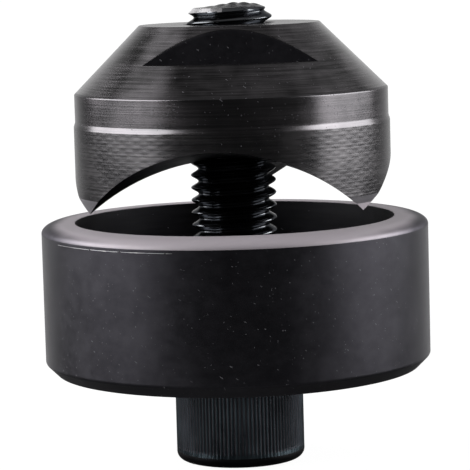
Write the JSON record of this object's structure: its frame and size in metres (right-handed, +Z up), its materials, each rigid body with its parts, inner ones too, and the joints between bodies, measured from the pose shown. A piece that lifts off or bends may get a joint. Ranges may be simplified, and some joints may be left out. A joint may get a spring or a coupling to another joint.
{
  "type": "knockout punch",
  "caption": "Screw-driven hole punch for sheet metal: a cup-shaped die, an arched cutter with a conical top and wrench flats, and a socket head screw that draws them together.",
  "frame": {"origin": "centre of the screw head's end face, which the tool stands on", "axes": "+Z up the screw's axis, from its head to its free end; the wrench flats face -Y and +Y"},
  "size_m": [0.054, 0.054, 0.064],
  "materials": {
    "die_steel": "satin black oxide, fine turned",
    "punch_steel": "black oxide over turned grooves",
    "screw_steel": "black oxide, rolled thread and knurled head"
  },
  "bodies": {
    "die": {"die": "die_steel"},
    "screw": {"drive_screw": "screw_steel"},
    "punch": {"punch": "punch_steel"}
  },
  "joints": [
    {"name": "screw_turn", "type": "hinge", "parent": "die", "child": "screw", "pos_m": [0, 0, 0.013], "axis": [0, 0, 1], "range_deg": [-3245, 3245]},
    {"name": "punch_travel", "type": "slide", "parent": "die", "child": "punch", "axis": [0, 0, 1], "range_m": [-0.01575, 0.01575]}
  ],
  "couplings": [
    {"joint": "screw_turn", "follows": "punch_travel", "rad_per_m": -3590.4}
  ]
}
